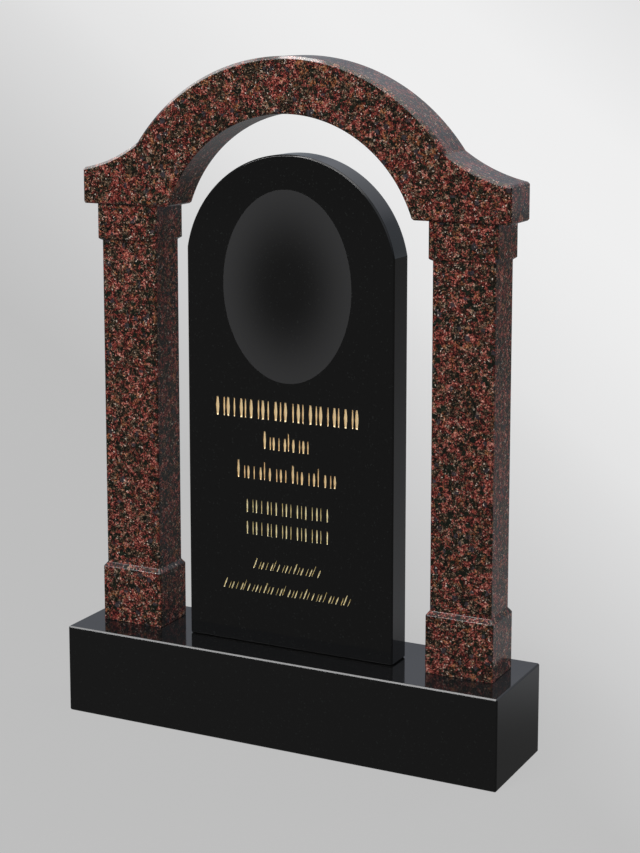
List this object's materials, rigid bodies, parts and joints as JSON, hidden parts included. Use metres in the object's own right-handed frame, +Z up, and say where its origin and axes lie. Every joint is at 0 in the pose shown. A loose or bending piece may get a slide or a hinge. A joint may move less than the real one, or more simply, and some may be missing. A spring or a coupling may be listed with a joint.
{
  "type": "granite headstone",
  "caption": "Upright black stone slab with a round head and rows of engraved strokes, framed by a red granite arch on square columns, on a rectangular black base.",
  "frame": {"origin": "on the ground, below the middle of the base", "axes": "+Z up, +X to the right along the front, the front faces -Y"},
  "size_m": [1.05, 0.25, 1.4978],
  "materials": {
    "base_stone": "black gabbro, polished",
    "stele_stone": "black gabbro, polished, with gilded engraving",
    "column_stone": "red granite, polished",
    "arch_stone": "red granite, polished"
  },
  "bodies": {
    "root": {"base": "base_stone", "stele": "stele_stone", "column_left": "column_stone", "column_right": "column_stone", "arch": "arch_stone"}
  },
  "joints": []
}
